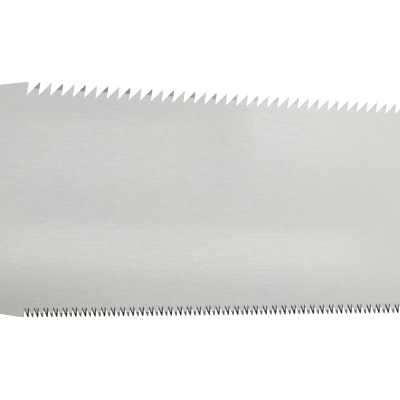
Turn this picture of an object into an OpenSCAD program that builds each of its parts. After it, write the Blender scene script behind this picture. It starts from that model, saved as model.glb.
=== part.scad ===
// Ryoba: a pull saw with rip teeth on one edge and crosscut teeth on the other, in a screw clamp
// on a split wooden handle wound with cane. It lies on its side with the toe towards -X.
// Saw coordinates: X = 0 at the rip row's toe end, Y = 0 on the centre line, Z = 0 at mid plate.

/* [Blade] */
// Length of the toothed edges
tooth_run = 250; // [200:5:300]
// Width over the tooth tips at the toe
toe_width = 86.4; // [74:0.2:100]
// Slope of each toothed edge towards the centre line, degrees
edge_taper = 1.84; // [0.6:0.02:3]
// Thickness of the plate
plate_t = 0.6; // [0.5:0.05:0.8]
// Plain plate in front of the teeth
toe_margin = 22; // [18:1:30]
// Slope of the plain toe's edges towards the centre line, degrees
toe_recede = 7.4; // [4:0.1:10]
// Radius of the toe's corners
toe_corner_r = 6; // [3:1:12]
// Radius of the toe's curved end
toe_end_r = 170; // [120:10:400]
// Plain edge behind the last teeth
heel_run = 12; // [8:1:20]
// Slanted heel, from the plain edge to the neck
heel_slant = 22; // [16:1:30]
// Straight neck in front of the clamp
neck_run = 30; // [20:1:50]
// Width of the neck
neck_w = 24; // [22:0.5:30]

/* [Rip teeth] */
// Pitch at the toe, where the teeth are largest
rip_pitch_toe = 4.235; // [3.6:0.005:4.8]
// Pitch at the heel
rip_pitch_heel = 2.805; // [2.2:0.005:3.4]
// Sideways bend of each tip, to alternate sides
rip_set = 0.2; // [0.1:0.01:0.35]

/* [Crosscut teeth] */
// Pitch of the crosscut teeth
cross_pitch = 1.753; // [1.4:0.001:2.4]
// How far the crosscut row starts in front of the rip row
cross_lead = -0.04; // [-2:0.02:2]
// Angle of the file across the plate, degrees
cross_fleam = 40; // [15:1:42]
// Sideways bend of each tip, to alternate sides
cross_set = 0.18; // [0.08:0.01:0.25]

/* [Clamp] */
// Width of the cheeks at the screw
cheek_w = 27; // [25:0.5:32]
// Thickness of each cheek
cheek_t = 1.6; // [1.2:0.1:2.2]
// Length of the cheeks in front of the handle
cheek_show = 34; // [30:1:44]
// Length of the cheeks inside the handle
cheek_tail = 58; // [52:1:76]
// Width of the cheeks inside the handle
tail_w = 18; // [17:0.5:20]
// Width of the tang between the cheeks
tang_w = 17; // [14:0.5:19]
// Length of the tang between the cheeks
tang_len = 46; // [40:1:50]
// Shank radius of the clamp screw
screw_r = 2.95; // [2.4:0.05:3.2]
// Radius of the screw's head
head_r = 7.5; // [6.5:0.1:9]
// Height of the screw's head
head_h = 4; // [3:0.1:6]

/* [Handle] */
// Length of the wooden part
core_len = 270; // [240:5:320]
// Width at the ferrule
grip_w = 31; // [28:0.5:36]
// Thickness at the ferrule
grip_t = 24; // [22:0.5:28]
// Width at the butt
butt_w = 36; // [33:0.5:40]
// Thickness at the butt
butt_t = 26; // [24:0.5:30]
// Length of the ferrule
ferrule_len = 20; // [14:1:28]
// Wall of the ferrule
ferrule_t = 1; // [0.8:0.1:1.6]
// Length of the butt cap
cap_len = 22; // [20:1:30]
// Radius of the hanging hole
hang_r = 3.5; // [2.5:0.1:4]

/* [Cane] */
// Turns of the cane round the handle
cane_turns = 24; // [12:1:24]
// Rise of the cane in one turn
cane_pitch = 7.2; // [5.6:0.1:8]
// Gap between two turns of the cane
cane_gap = 0.7; // [0.7:0.1:2]
// Thickness of the cane strip
cane_t = 1.4; // [1:0.1:1.8]

/* [Hidden] */
$fn = 64;

// Fits
slip = 0.02;            // plate to cheek, each side
slot_clear = 0.15;      // pin or shank in the tang's slot, on the radius
shank_clear = 0.25;     // shank in a cheek or washer, on the radius
thread_clear = 0.05;    // shank in the nut, on the radius
shoulder_gap = 0.2;     // blade's shoulders to the cheeks

// Tooth forms as [back run, hook run, flat, bend]: runs per unit of height, the flat per unit
// of pitch, and the share of the height that the set bends
rip_form = [0.9, 0.09, 0.08, 0.5];
cross_form = [0.385, -0.08, 0.3, 0.37];
flat_loss = 0.65;       // how much of a bevel's run the flat loses on the bevelled face
least_flat = 0.05;      // least flat, per unit of pitch
bend_clear = 0.1;       // least height from the bend to a bevelled face's tip
spine = 0.9;            // plate kept behind the deepest gullet
corner_run = 3;         // length of the plain corner at the toe end of a row
toe_arc_share = 0.7;    // share of the toe's end that is not taken up by its rounded corners

// Lengths along the saw
heel_x = tooth_run + heel_run;
neck_x = heel_x + heel_slant;
clamp_x = neck_x + neck_run;
screw_x = clamp_x + 17;
pin_x = screw_x + 16;
tang_end = clamp_x + tang_len;
mouth_x = clamp_x + cheek_show;
tail_end = mouth_x + cheek_tail;
butt_x = mouth_x + core_len;
cap_end = butt_x + cap_len;

// Heights of the clamp's stack
gap_z = plate_t / 2 + slip;
cheek_z = gap_z + cheek_t;
boss_h = 0.8;
boss_r = head_r + 1.2;
washer_z = cheek_z + boss_h;
flat_washer_t = 1.2;
spring_washer_t = 1.5;
head_z = washer_z + flat_washer_t + spring_washer_t;
nut_h = 4.6;
nut_r = screw_r + 2.85;
slot_r = screw_r + slot_clear;
pin_r = screw_r;

// Small parts in the handle
lip_t = 1;
rivet_r = 2;
rivet_inset = 8;
tail_pin_r = 1.5;
bed_clear = 0.05;
bed_w = max(tail_w, tang_w) + 2 * bed_clear;
brad_r = 0.8;
brad_head_r = 1.6;
brad_head_h = 0.6;
wrap_brad_len = 7;
ferrule_brad_len = (grip_w - tail_w) / 2 - 0.5;
spigot_r = 6.5;
spigot_len = 8;
cap_screw_r = 1.5;
cap_screw_len = 20;
cap_screw_y = butt_w * 0.31;
cap_head_r = 2.8;
cap_seat = cap_len - 4;
eyelet_t = 0.8;
eyelet_flange = 2.4;
hang_x = butt_x + cap_len * 0.45;
hang_seat_z = butt_t / 2 * 0.86;

// Cane seat
cane_w = cane_pitch - cane_gap;
cane_start = mouth_x + ferrule_len + 4 + cane_w;
cane_end = cane_start + cane_turns * cane_pitch;
tail_pin_x = cane_start + 4.5;
cane_rings = 24;
cane_proud = 0.3;
cane_edge = 0.45;
cane_sink = 0.05;
seat_w = grip_w / 2 - cane_t + cane_proud;
seat_t = grip_t / 2 - cane_t + cane_proud;
seat_step = 0.6;

// Place of the whole saw: centred on its box in X and Y, standing on Z = 0
row_low = toe_width / 2 + (cross_lead + plate_t / 2 * tan(cross_fleam)) * sin(edge_taper);
shift = [(toe_margin - cap_end) / 2, (row_low - toe_width / 2) / 2, butt_t / 2];

module place() {
    translate(shift) children();
}

// Geometry helpers

function unit(v) = v / norm(v);
function turned(p, a) = [p.x * cos(a) - p.y * sin(a), p.x * sin(a) + p.y * cos(a)];
function flat_point(v) = [v.x, v.y];

// Arc of radius r that rounds the corner b of the path a, b, c
function fillet(a, b, c, r, steps = 10) =
    let (
        u = unit(a - b),
        v = unit(c - b),
        half = acos(u * v) / 2,
        hub = b + unit(u + v) * r / sin(half),
        start = b + u * r / tan(half) - hub,
        side = sign(u.y * v.x - u.x * v.y)
    )
    [for (i = [0:steps]) hub + turned(start, side * (180 - 2 * half) * i / steps)];

// Closed outline from corners given as [x, y, radius]
function rounded(path) =
    let (n = len(path))
    [
        for (i = [0:n - 1])
            let (here = flat_point(path[i]))
            each path[i].z == 0 ? [here] : fillet(
                flat_point(path[(i + n - 1) % n]), here, flat_point(path[(i + 1) % n]), path[i].z
            )
    ];

function mirrored(path) = [for (i = [len(path) - 1:-1:0]) [path[i].x, -path[i].y, path[i].z]];

// Teeth. A row is worked out along its own tooth line: s runs from the toe towards the handle
// and h is the height over the tips' line, so the tips are at h = 0 and the gullets below it.

function rip_count() = round(2 * tooth_run / (rip_pitch_toe + rip_pitch_heel));
function rip_s(n) =
    let (
        fade = (rip_pitch_toe - rip_pitch_heel) / rip_count() / 2,
        reach = rip_count() * (rip_pitch_toe + rip_pitch_heel) / 2
    )
    n * (rip_pitch_toe - fade * n) * tooth_run / reach;
function cross_count() = floor((tooth_run + cross_lead) / cross_pitch);
function cross_s(n) = n * cross_pitch - cross_lead;

function tooth_h(width, form, flat) = (width - flat) / (form[0] - form[1]);

// A row is [columns, form, slant, set, side]: columns are the tips' places, slant is how far
// a gullet leans along the row from mid plate to either face, and side is its side of the blade.
rip_row = [[for (n = [0:rip_count()]) rip_s(n)], rip_form, 0, rip_set, 1];
cross_row = [
    [for (n = [0:cross_count()]) cross_s(n)], cross_form, plate_t / 2 * tan(cross_fleam), cross_set, -1
];

function pitch_at(row, n) =
    let (last = len(row[0]) - 1, k = min(max(n, 1), last))
    row[0][k] - row[0][k - 1];
function lean(row, n, face) = row[2] * face * (n % 2 == 0 ? 1 : -1);
function gullet_depth(row, n) =
    let (pitch = pitch_at(row, n + 1))
    tooth_h(pitch + 2 * row[2], row[1], row[1][2] * pitch);
function gullet(row, n, face) =
    let (depth = gullet_depth(row, n))
    [row[0][n] - row[1][1] * depth + lean(row, n, face), -depth];
// Width of tooth n on one face, at its gullets, and of the flat that the bevels leave at its tip
function width_at(row, n, face) = pitch_at(row, n) + lean(row, n, face) - lean(row, n - 1, face);
function flat_at(row, n, face) =
    let (pitch = pitch_at(row, n))
    max(row[1][2] * pitch + flat_loss * min(width_at(row, n, face) - pitch, 0), least_flat * pitch);
// The set bends what lies above this height, which is under both faces' tips
function bend_h(row, n) =
    let (
        depth = gullet_depth(row, n),
        narrow = n % 2 == 0 ? -1 : 1,
        inner = depth - tooth_h(width_at(row, n, narrow), row[1], flat_at(row, n, narrow))
    )
    -max(depth * row[1][3], inner + bend_clear);
function bent(p, bend, push) = [p.x, p.y, p.y > bend ? push * (1 - p.y / bend) : 0];
function at_height(a, b, h) = a + (b - a) * (h - a.y) / (b.y - a.y);

// The five outline points of tooth n on one face, from its back gullet to its front bend
function tooth_points(row, n, face) =
    let (
        form = row[1],
        flat = flat_at(row, n, face),
        back = gullet(row, n - 1, face),
        front = gullet(row, n, face),
        high = tooth_h(width_at(row, n, face), form, flat),
        heel_tip = back + [form[0] * high, high],
        tip = heel_tip + [flat, 0],
        bend = bend_h(row, n),
        push = row[3] * (n % 2 == 0 ? 1 : -1)
    )
    [
        for (p = [
            back, at_height(back, heel_tip, bend), heel_tip, tip, at_height(front, tip, bend)
        ]) bent(p, bend, push)
    ];

function row_base(row) = -gullet_depth(row, 0) - spine;
function row_start(row) = [
    row[0][0] - corner_run, -corner_run * tan(toe_recede + edge_taper)
];
function row_end(row) =
    let (last = len(row[0]) - 1)
    [row[0][last] + corner_run, -gullet_depth(row, last)];
// Points along a row's base, where its comb joins the plate
function base_points(row) = [
    [row_start(row).x, row_base(row)],
    for (n = [0:len(row[0]) - 1]) [gullet(row, n, 0).x, row_base(row)],
    [row_end(row).x, row_base(row)]
];

// A row's point in saw coordinates on the upper edge, to the micrometre
function on_edge(p) =
    let (q = [0, toe_width / 2] + turned([p.x, p.y], -edge_taper))
    [round(q.x * 1000) / 1000, round(q.y * 1000) / 1000];

// One face of a row's comb: corner, teeth, last gullet, end, then back along the base
function comb_face(row, face) =
    let (
        last = len(row[0]) - 1,
        base = base_points(row),
        corner = gullet(row, 0, face) + gullet_depth(row, 0) * [row[1][1], 1],
        outline = [
            row_start(row),
            corner,
            for (n = [1:last]) each tooth_points(row, n, face),
            gullet(row, last, face),
            row_end(row),
            for (i = [len(base) - 1:-1:0]) base[i]
        ]
    )
    [
        for (p = outline)
            let (q = on_edge(p))
            [q.x, row[4] * q.y, (p.z == undef ? 0 : p.z) + face * plate_t / 2]
    ];

module comb(row) {
    last = len(row[0]) - 1;
    face = comb_face(row, 1);
    size = len(face);
    outline = 5 * last + 4;
    function root(n) = 2 + 5 * n;
    function base(n) = outline + 1 + last - n;
    sheet = [
        [size - 1, base(0), root(0)],
        [size - 1, root(0), 1],
        [size - 1, 1, 0],
        for (n = [1:last])
            let (r = root(n - 1))
            each [
                [r + 1, r + 3, r + 2],
                [r + 1, r + 4, r + 3],
                [r, r + 4, r + 1],
                [r, r + 5, r + 4],
                [base(n - 1), r + 5, r],
                [base(n - 1), base(n), r + 5]
            ],
        [base(last), outline, outline - 1],
        [base(last), outline - 1, outline - 2]
    ];
    rim = [
        for (i = [0:size - 1])
            let (j = (i + 1) % size)
            each [[i, i + size, j + size], [i, j + size, j]]
    ];
    skin = concat(
        [for (f = sheet) [f[2], f[1], f[0]]],
        [for (f = sheet) [f[0] + size, f[1] + size, f[2] + size]],
        [for (f = rim) [f[0], f[2], f[1]]]
    );
    polyhedron(
        points = concat(face, comb_face(row, -1)),
        faces = row[4] > 0 ? skin : [for (f = skin) [f[2], f[1], f[0]]]
    );
}

// Blade

function toe_end_x(y) = toe_end_r - toe_margin - sqrt(toe_end_r * toe_end_r - y * y);
// Where the toe's slanting edge meets its curved end
toe_corner =
    let (
        slope = tan(toe_recede),
        hub = toe_end_r - toe_margin,
        half = hub - toe_width / 2 * slope,
        across = 1 + slope * slope,
        reach = toe_end_r * toe_end_r - hub * hub - toe_width * toe_width / 4,
        x = (half - sqrt(half * half + across * reach)) / across
    )
    [x, toe_width / 2 + x * slope];

// Outline of one half of the plate without its teeth, from the toe's corner to the tang's end
function plate_half(row) =
    let (
        end = row_end(row),
        heel = on_edge([heel_x, end.y])
    )
    [
        [toe_corner.x, toe_corner.y, toe_corner_r],
        for (p = [row_start(row), each base_points(row), end])
            let (q = on_edge(p))
            [q.x, q.y, 0],
        [heel.x, heel.y, 7],
        [neck_x, neck_w / 2, 34],
        [clamp_x - shoulder_gap, neck_w / 2, 0.6],
        [clamp_x - shoulder_gap, tang_w / 2, 0.4],
        [tang_end, tang_w / 2, 2]
    ];

module plate() {
    toe_arc = [for (i = [-8:8]) let (y = i / 8 * toe_arc_share * toe_corner.y) [toe_end_x(y), y, 0]];
    linear_extrude(plate_t, center = true) difference() {
        polygon(rounded(concat(toe_arc, plate_half(rip_row), mirrored(plate_half(cross_row)))));
        translate([screw_x, 0]) circle(slot_r);
        translate([screw_x, -slot_r]) square([tang_end - screw_x + 1, 2 * slot_r]);
    }
}

module blade() {
    color("gainsboro") place() union() {
        plate();
        comb(rip_row);
        comb(cross_row);
    }
}

// Clamp

module cheek_outline() {
    half = [
        [clamp_x, cheek_w / 2, 7],
        [mouth_x - 7, cheek_w / 2, 5],
        [mouth_x - 2, tail_w / 2, 3],
        [tail_end, tail_w / 2, 4]
    ];
    polygon(rounded(concat(half, mirrored(half))));
}

module cheek() {
    difference() {
        translate([0, 0, gap_z]) linear_extrude(cheek_t) cheek_outline();
        translate([screw_x, 0, 0]) cylinder(r = screw_r + shank_clear, h = 2 * cheek_z);
        translate([pin_x, 0, 0]) cylinder(r = pin_r, h = 2 * cheek_z);
        rivet_places() cylinder(r = rivet_r, h = 2 * cheek_z);
        translate([tail_pin_x, 0, 0]) cylinder(r = tail_pin_r, h = 2 * cheek_z);
    }
}

module rivet_places() {
    for (x = [tang_end + rivet_inset, tail_end - rivet_inset]) translate([x, 0, 0]) children();
}

module upper_cheek() {
    color("silver") place() {
        cheek();
        translate([screw_x, 0, cheek_z]) difference() {
            cylinder(r1 = boss_r + boss_h, r2 = boss_r, h = boss_h);
            translate([0, 0, -1]) cylinder(r = screw_r + shank_clear, h = boss_h + 2);
        }
    }
}

module lower_cheek() {
    color("silver") place() mirror([0, 0, 1]) cheek();
}

module tang_spacer() {
    length = tail_end - tang_end - shoulder_gap;
    color("darkgray") place() difference() {
        translate([tang_end + shoulder_gap, -tail_w / 2 + 1, -gap_z])
            cube([length - 1, tail_w - 2, 2 * gap_z]);
        rivet_places() cylinder(r = rivet_r, h = 4 * gap_z, center = true);
        translate([tail_pin_x, 0, 0]) cylinder(r = tail_pin_r, h = 4 * gap_z, center = true);
    }
}

module locating_pin() {
    color("dimgray") place() translate([pin_x, 0, 0])
        cylinder(r = pin_r, h = 2 * cheek_z, center = true);
}

module cheek_rivets() {
    color("dimgray") place() rivet_places() cylinder(r = rivet_r, h = 2 * cheek_z, center = true);
}

module clamp_nut() {
    color("slategray") place() translate([screw_x, 0, -cheek_z - nut_h]) difference() {
        union() {
            cylinder(r = nut_r, h = nut_h, $fn = 6);
            translate([0, 0, nut_h - 1]) cylinder(r = nut_r + 1.4, h = 1);
        }
        translate([0, 0, -1]) cylinder(r = screw_r + thread_clear, h = nut_h + 2);
    }
}

module clamp_screw() {
    shank_len = head_z + cheek_z + nut_h - 0.6;
    flutes = 24;
    flute_r = 0.45;
    crown = 0.8;
    slot_w = 1.8;
    slot_h = 1.6;
    color("lightsteelblue") place() translate([screw_x, 0, head_z]) difference() {
        union() {
            rotate_extrude() polygon(concat(
                [[0, 0], [head_r, 0]],
                [for (a = [0:15:90]) [head_r - crown + crown * cos(a), head_h - crown + crown * sin(a)]],
                [[0, head_h]]
            ));
            translate([0, 0, -shank_len]) cylinder(r = screw_r, h = shank_len + 1);
        }
        for (i = [1:flutes]) rotate(i * 360 / flutes) translate([head_r + flute_r * 0.35, 0, 0.5])
            cylinder(r = flute_r, h = head_h, $fn = 16);
        translate([-head_r - 1, -slot_w / 2, head_h - slot_h]) cube([2 * head_r + 2, slot_w, slot_h + 1]);
    }
}

module flat_washer() {
    color("gainsboro") place() translate([screw_x, 0, washer_z]) difference() {
        cylinder(r = head_r - 0.1, h = flat_washer_t);
        translate([0, 0, -1]) cylinder(r = screw_r + shank_clear, h = flat_washer_t + 2);
    }
}

module spring_washer() {
    split = 14;
    color("gray") place() translate([screw_x, 0, washer_z + flat_washer_t])
        rotate_extrude(angle = 360 - split, start = split / 2)
            translate([screw_r + shank_clear, 0]) square([head_r - screw_r - 1.5, spring_washer_t]);
}

// Handle

function oval(half_w, half_t, a) = [half_w * cos(a), half_t * sin(a)];

// Loft of a closed section through rings; a station is [x, half width, half thickness].
// With arc = 180 it is one half of the oval, closed along the split.
module loft(stations, arc = 360, sides = 40) {
    points_in_ring = arc == 360 ? sides : sides / 2 + 1;
    rings = len(stations);
    points = [
        for (s = stations, i = [0:points_in_ring - 1])
            let (p = oval(s[1], s[2], i * 360 / sides))
            [s[0], p.x, p.y]
    ];
    skin = [
        for (r = [0:rings - 2], i = [0:points_in_ring - 1])
            let (
                a = r * points_in_ring + i,
                b = r * points_in_ring + (i + 1) % points_in_ring
            )
            each [
                [a, b + points_in_ring, b],
                [a, a + points_in_ring, b + points_in_ring]
            ]
    ];
    tail = (rings - 1) * points_in_ring;
    caps = [
        for (i = [1:points_in_ring - 2])
            each [[0, i, i + 1], [tail, tail + i + 1, tail + i]]
    ];
    polyhedron(points = points, faces = concat(skin, caps));
}

function core_stations() =
    let (
        front_w = grip_w / 2 - ferrule_t,
        front_t = grip_t / 2 - ferrule_t,
        collar_x = mouth_x + ferrule_len,
        steps = 8,
        flare_x = cane_end + cane_w
    )
    [
        [mouth_x + lip_t, front_w, front_t],
        [collar_x, front_w, front_t],
        [collar_x + 0.3, grip_w / 2, grip_t / 2],
        [cane_start - cane_w - seat_step, grip_w / 2, grip_t / 2],
        [cane_start - cane_w, seat_w, seat_t],
        [cane_end + cane_w, seat_w, seat_t],
        for (i = [0:steps])
            let (f = (1 - cos(180 * i / steps)) / 2)
            [
                flare_x + seat_step + (butt_x - flare_x - seat_step) * i / steps,
                grip_w / 2 + (butt_w - grip_w) / 2 * f,
                grip_t / 2 + (butt_t - grip_t) / 2 * f
            ]
    ];

module half_core() {
    difference() {
        loft(core_stations(), arc = 180);
        translate([mouth_x, -bed_w / 2, -1]) cube([cheek_tail + bed_clear, bed_w, cheek_z + 1]);
        translate([tail_pin_x, 0, -1]) cylinder(r = tail_pin_r, h = grip_t);
        translate([butt_x - spigot_len, 0, 0]) rotate([0, 90, 0])
            cylinder(r = spigot_r, h = spigot_len + 1);
        cap_screw_places() translate([0, 0, -cap_screw_len]) cylinder(r = cap_screw_r, h = cap_screw_len);
    }
}

module cap_screw_places() {
    for (y = [-cap_screw_y, cap_screw_y]) translate([butt_x, y, 0]) rotate([0, 90, 0]) children();
}

module handle_core_upper() {
    color("burlywood") place() half_core();
}

module handle_core_lower() {
    color("burlywood") place() mirror([0, 0, 1]) half_core();
}

module ferrule() {
    color("silver") place() difference() {
        loft([
            [mouth_x, grip_w / 2 - 0.5, grip_t / 2 - 0.5],
            [mouth_x + 0.5, grip_w / 2, grip_t / 2],
            [mouth_x + ferrule_len, grip_w / 2, grip_t / 2]
        ]);
        loft([
            [mouth_x + lip_t, grip_w / 2 - ferrule_t, grip_t / 2 - ferrule_t],
            [mouth_x + ferrule_len + 1, grip_w / 2 - ferrule_t, grip_t / 2 - ferrule_t]
        ]);
        translate([mouth_x - 1, -bed_w / 2, -cheek_z - bed_clear])
            cube([lip_t + 2, bed_w, 2 * cheek_z + 2 * bed_clear]);
        ferrule_brad_places() cylinder(r = brad_r, h = 4 * ferrule_t, center = true);
    }
}

module ferrule_brad_places() {
    for (side = [-1, 1]) translate([mouth_x + ferrule_len / 2, side * grip_w / 2, 0])
        rotate([-90 * side, 0, 0]) children();
}

module brad(length) {
    translate([0, 0, -length]) cylinder(r = brad_r, h = length + brad_head_h / 2);
    intersection() {
        cylinder(r = brad_head_r, h = brad_head_h);
        translate([0, 0, brad_head_h - 3]) sphere(r = 3);
    }
}

module ferrule_brads() {
    color("gainsboro") place() ferrule_brad_places() brad(ferrule_brad_len);
}

module tail_pin() {
    color("dimgray") place() translate([tail_pin_x, 0, 0])
        cylinder(r = tail_pin_r, h = 2 * seat_t - 1, center = true);
}

// Cane. Its path is a helix on the oval seat; each end runs straight on along the path.

cane_section = [
    [-0.5, 0], [-0.5, cane_edge], [-0.25, 1], [0.25, 1], [0.5, cane_edge], [0.5, 0]
];

function seat_point(a) = oval(seat_w, seat_t, a);
function seat_normal(a) = unit([cos(a) / seat_w, sin(a) / seat_t]);

// Ring of the strip at angle a, moved by run along the path
function cane_ring(a, run = 0) =
    let (
        along = unit([-seat_w * sin(a), seat_t * cos(a)]),
        p = seat_point(a) + along * run,
        n = seat_normal(a),
        x = cane_start + cane_pitch * (a - 90) / 360
    )
    [
        for (c = cane_section)
            let (q = p + n * (c.y * (cane_t + cane_sink) - cane_sink))
            [x + c.x * cane_w, q.x, q.y]
    ];

cane_steps = cane_turns * cane_rings;
cane_path = [
    cane_ring(90, -cane_t),
    for (i = [0:cane_steps]) cane_ring(90 + 360 * i / cane_rings),
    cane_ring(90 + 360 * cane_turns, cane_t)
];

// Least gap between one turn's edge and the next one's, over all points of a turn
function turn_gap(i) = min([
    for (j = [-1:1], p = [0:1], q = [4:5]) norm(cane_path[i + cane_rings + j][p] - cane_path[i][q])
]);
echo(least_gap_between_turns = min([for (i = [2:cane_rings + 1]) turn_gap(i)]));

module cane_wrap() {
    sides = len(cane_section);
    rings = len(cane_path);
    tail = (rings - 1) * sides;
    skin = [
        for (r = [0:rings - 2], i = [0:sides - 1])
            let (a = r * sides + i, b = r * sides + (i + 1) % sides)
            each [[a, b, b + sides], [a, b + sides, a + sides]]
    ];
    caps = [for (i = [1:sides - 2]) each [[0, i + 1, i], [tail, tail + i, tail + i + 1]]];
    color("tan") place() polyhedron(points = [for (r = cane_path) each r], faces = concat(skin, caps));
}

module wrap_brads() {
    color("gainsboro") place() for (x = [cane_start, cane_end])
        translate([x, 0, seat_t + cane_t]) brad(wrap_brad_len);
}

// Butt

module butt_cap() {
    crown = 9;
    steps = 6;
    color("#3b3a38") place() difference() {
        union() {
            loft([
                [butt_x, butt_w / 2, butt_t / 2],
                for (i = [0:steps])
                    let (a = 75 * i / steps)
                    [
                        cap_end - crown + crown * sin(a) / sin(75),
                        butt_w / 2 - crown * (1 - cos(a)),
                        butt_t / 2 - crown * (1 - cos(a))
                    ]
            ]);
            translate([butt_x - spigot_len + 0.5, 0, 0]) rotate([0, 90, 0])
                cylinder(r = spigot_r, h = spigot_len);
        }
        translate([hang_x, 0, 0]) cylinder(r = hang_r + eyelet_t, h = 2 * butt_t, center = true);
        for (side = [0, 1]) mirror([0, 0, side]) translate([hang_x, 0, hang_seat_z])
            cylinder(r = hang_r + eyelet_flange + bed_clear, h = butt_t);
        cap_screw_places() {
            translate([0, 0, -1]) cylinder(r = cap_screw_r, h = cap_len + 2);
            translate([0, 0, cap_seat]) cylinder(r = cap_head_r + bed_clear, h = cap_len);
        }
    }
}

module cap_screws() {
    color("dimgray") place() cap_screw_places() difference() {
        union() {
            translate([0, 0, -cap_screw_len]) cylinder(r = cap_screw_r, h = cap_screw_len + cap_seat);
            translate([0, 0, cap_seat]) cylinder(r1 = cap_head_r, r2 = cap_head_r * 0.8, h = 1.8);
        }
        for (a = [0, 90]) rotate(a) translate([-1.5, -0.35, cap_seat + 0.8]) cube([3, 0.7, 2]);
    }
}

module hang_eyelet() {
    color("goldenrod") place() translate([hang_x, 0, 0]) difference() {
        union() {
            cylinder(r = hang_r + eyelet_t, h = 2 * hang_seat_z, center = true);
            for (side = [0, 1]) mirror([0, 0, side]) translate([0, 0, hang_seat_z])
                cylinder(r1 = hang_r + eyelet_flange, r2 = hang_r + eyelet_flange - 0.5, h = eyelet_t);
        }
        cylinder(r = hang_r, h = 2 * butt_t, center = true);
    }
}

blade();
upper_cheek();
lower_cheek();
tang_spacer();
locating_pin();
cheek_rivets();
clamp_nut();
clamp_screw();
flat_washer();
spring_washer();
ferrule();
ferrule_brads();
handle_core_upper();
handle_core_lower();
tail_pin();
cane_wrap();
wrap_brads();
butt_cap();
cap_screws();
hang_eyelet();
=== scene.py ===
"""Looks of the ryoba saw: steel blade in a screw clamp, wooden handle wound with cane.

Names ending in _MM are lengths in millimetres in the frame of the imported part, other lengths
are in metres. The saw lies on its side there, with its toe towards -X, its rip teeth towards +Y
and the middle of the plate MID_MM above the floor. The handle's points count their Z from it."""

import math
import random

import bmesh
import bpy
from mathutils import Matrix, Vector

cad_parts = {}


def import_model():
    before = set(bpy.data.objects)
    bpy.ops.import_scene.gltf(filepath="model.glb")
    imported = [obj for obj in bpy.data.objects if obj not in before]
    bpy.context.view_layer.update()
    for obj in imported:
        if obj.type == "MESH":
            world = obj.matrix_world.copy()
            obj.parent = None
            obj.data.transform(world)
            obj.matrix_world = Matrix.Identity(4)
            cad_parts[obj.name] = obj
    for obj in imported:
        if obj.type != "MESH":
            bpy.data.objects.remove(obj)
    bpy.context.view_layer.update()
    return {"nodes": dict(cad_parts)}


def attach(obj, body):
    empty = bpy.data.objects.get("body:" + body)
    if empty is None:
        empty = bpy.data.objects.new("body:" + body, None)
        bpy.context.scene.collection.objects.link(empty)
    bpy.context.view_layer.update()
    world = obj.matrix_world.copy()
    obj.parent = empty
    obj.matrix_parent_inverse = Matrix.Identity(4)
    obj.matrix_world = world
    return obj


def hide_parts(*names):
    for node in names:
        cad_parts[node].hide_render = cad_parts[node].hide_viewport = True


MM = 0.001
MID_MM = 13.0
WELD_MM = 0.004
WHITE = (1, 1, 1, 1)

# ---------------------------------------------------------------- camera, world, floor
VIEW_TARGET = Vector((-0.2452, 0.00142, 0.013))
VIEW_DISTANCE = 0.6
VIEW_WIDTH = 0.1474
VIEW_TILT = math.radians(3.3)
VIEW_ROLL = math.radians(1.4)
SENSOR = 36.0

# The tent as the steel mirrors it: the start and end of each run, then the levels at them
TENT_LOWEST = 0.02
TENT_TOP = (0.55, 0.9, 0.6, 0.96)
TENT_FOOT = (0.15, 0.45, 1.0)
TENT_ALONG = (-0.1, 0.2, 0.9, 1.05)
TENT_ACROSS = (-0.1, 0.06, 0.92, 1.0)

# The dark gap: it starts this far across, and past its turn along the saw it slants away
GAP_LEVEL = 0.1
GAP_START = 0.17
GAP_TURN = 0.055
GAP_SLOPE = 4.0
GAP_SOFT = 0.05
GAP_END = (0.5, 0.75, 1.0, 0.0)

# The tent's even light on all that isn't mirrored
FILL_LEVEL = 0.78

KEY_PLACE = (0.5, -1.1, 1.5)
KEY_SIZE = 1.2
KEY_POWER = 9.0

FLOOR_HALF = 20.0
FLOOR_PALE = (0.8, 0.8, 0.8, 1)
FLOOR_DUSTY = (0.7, 0.7, 0.7, 1)
FLOOR_WHITE = 0.6
FLOOR_MIRRORED = 0.3

# ---------------------------------------------------------------- sizes of the handle's pieces
# A pair is half width and half thickness, or with _X_MM two places along the handle.
# Cutters reach PAST_MM beyond a face
PAST_MM = 1.0
FERRULE_X_MM = (39.0, 59.0)
FERRULE_WALL_MM = 1.0
FERRULE_ROLL_MM = 0.5
GROOVES_X_MM = (42.6, 55.4)
GROOVE_DEPTH_MM = 0.16
GROOVE_WIDTH_MM = 0.28
BRAD_X_MM = 49.0
BRAD_R_MM = 0.8
GRIP_MM = (15.5, 12.0)
BUTT_MM = (18.0, 13.0)
SEAT_MM = (14.4, 10.9)
SEAT_X_MM = (63.0, 248.8)
SEAT_DEPTH_MM = 1.1
SHOULDER_MM = 0.6
BED_MM = (9.05, 1.97)
BED_END_MM = 97.05
PIN_X_MM = 74.0
PIN_R_MM = 1.5
BUTT_X_MM = 309.0
CAP_END_MM = 331.0
CAP_CROWN_MM = 9.0
CAP_CROWN_TURN = math.radians(75)
SPIGOT_R_MM = 6.5
SPIGOT_LENGTH_MM = 7.5
SCREW_Y_MM = 11.16
SCREW_R_MM = 1.5
SCREW_DEPTH_MM = 20.0
SCREW_HEAD_R_MM = 2.85
SCREW_SEAT_X_MM = 327.0
HANG_X_MM = 318.9
HANG_REACH_MM = 20.0
EYELET_BORE_R_MM = 3.5
EYELET_TUBE_R_MM = 4.3
EYELET_SEAT_R_MM = 5.95
EYELET_SEAT_Z_MM = 11.18
EYELET_RIM_R_MM = 5.9
EYELET_TOP_Z_MM = 11.98

# Degrees from the split of the wood, and how far its corner is eased in there
SPLIT_EASE_MM = ((0.0, 0.16), (0.7, 0.05), (1.6, 0.0))

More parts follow.
